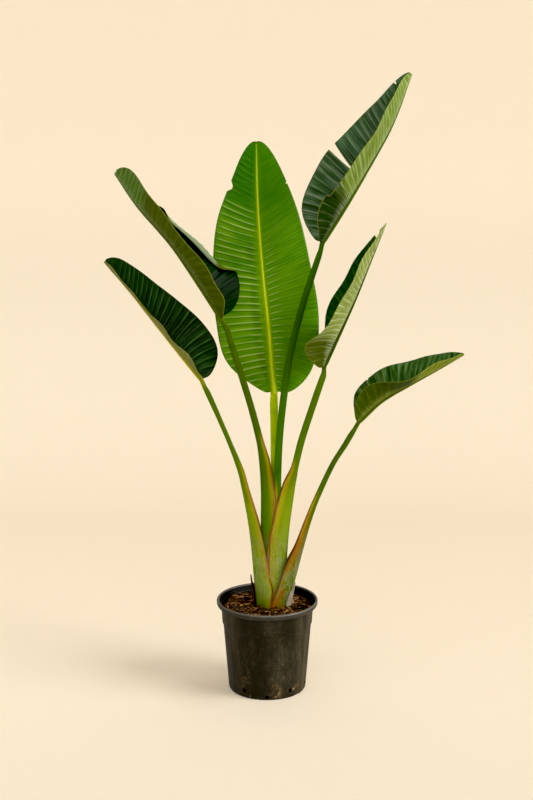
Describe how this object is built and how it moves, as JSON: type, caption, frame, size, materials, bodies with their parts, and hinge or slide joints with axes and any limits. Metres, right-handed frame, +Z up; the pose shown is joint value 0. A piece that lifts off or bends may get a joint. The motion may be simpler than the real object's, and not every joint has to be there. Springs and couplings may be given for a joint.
{
  "type": "potted bird of paradise plant",
  "caption": "Tall potted bird of paradise: broad paddle leaves on long petioles that rise from overlapping sheaths, in a plain round black nursery pot with soil.",
  "frame": {"origin": "centre of the pot's foot, on the floor", "axes": "+Z up, -Y to the front of the plant, +X to its right as seen from the front"},
  "size_m": [0.8207, 0.2784, 1.443],
  "materials": {
    "leaf_centre_stalk": "smooth yellow-green leaf stalk",
    "leaf_centre_blade": "satin mid-green leaf",
    "leaf_upper_right_stalk": "smooth green leaf stalk",
    "leaf_upper_right_blade": "satin dark green leaf, pale beneath",
    "leaf_mid_right_stalk": "smooth green leaf stalk and sheath",
    "leaf_mid_right_blade": "satin dark green leaf, pale beneath",
    "leaf_low_right_stalk": "smooth green leaf stalk and sheath",
    "leaf_low_right_blade": "satin dark green leaf, olive beneath",
    "leaf_upper_left_stalk": "smooth green leaf stalk and sheath",
    "leaf_upper_left_blade": "satin dark green leaf, olive beneath",
    "leaf_low_left_stalk": "smooth green leaf stalk and sheath",
    "leaf_low_left_blade": "satin dark green leaf",
    "dry_sheath_left": "dry, papery, dark brown",
    "dry_sheath_right": "dry, papery, pale grey-beige",
    "pot": "black moulded plastic, dusty and scuffed",
    "soil": "dark bark and compost mix"
  },
  "bodies": {
    "root": {"leaf_centre_stalk": "leaf_centre_stalk", "leaf_centre_blade": "leaf_centre_blade", "leaf_upper_right_stalk": "leaf_upper_right_stalk", "leaf_upper_right_blade": "leaf_upper_right_blade", "leaf_mid_right_stalk": "leaf_mid_right_stalk", "leaf_mid_right_blade": "leaf_mid_right_blade", "leaf_low_right_stalk": "leaf_low_right_stalk", "leaf_low_right_blade": "leaf_low_right_blade", "leaf_upper_left_stalk": "leaf_upper_left_stalk", "leaf_upper_left_blade": "leaf_upper_left_blade", "leaf_low_left_stalk": "leaf_low_left_stalk", "leaf_low_left_blade": "leaf_low_left_blade", "dry_sheath_left": "dry_sheath_left", "dry_sheath_right": "dry_sheath_right", "pot": "pot", "soil": "soil"}
  },
  "joints": []
}
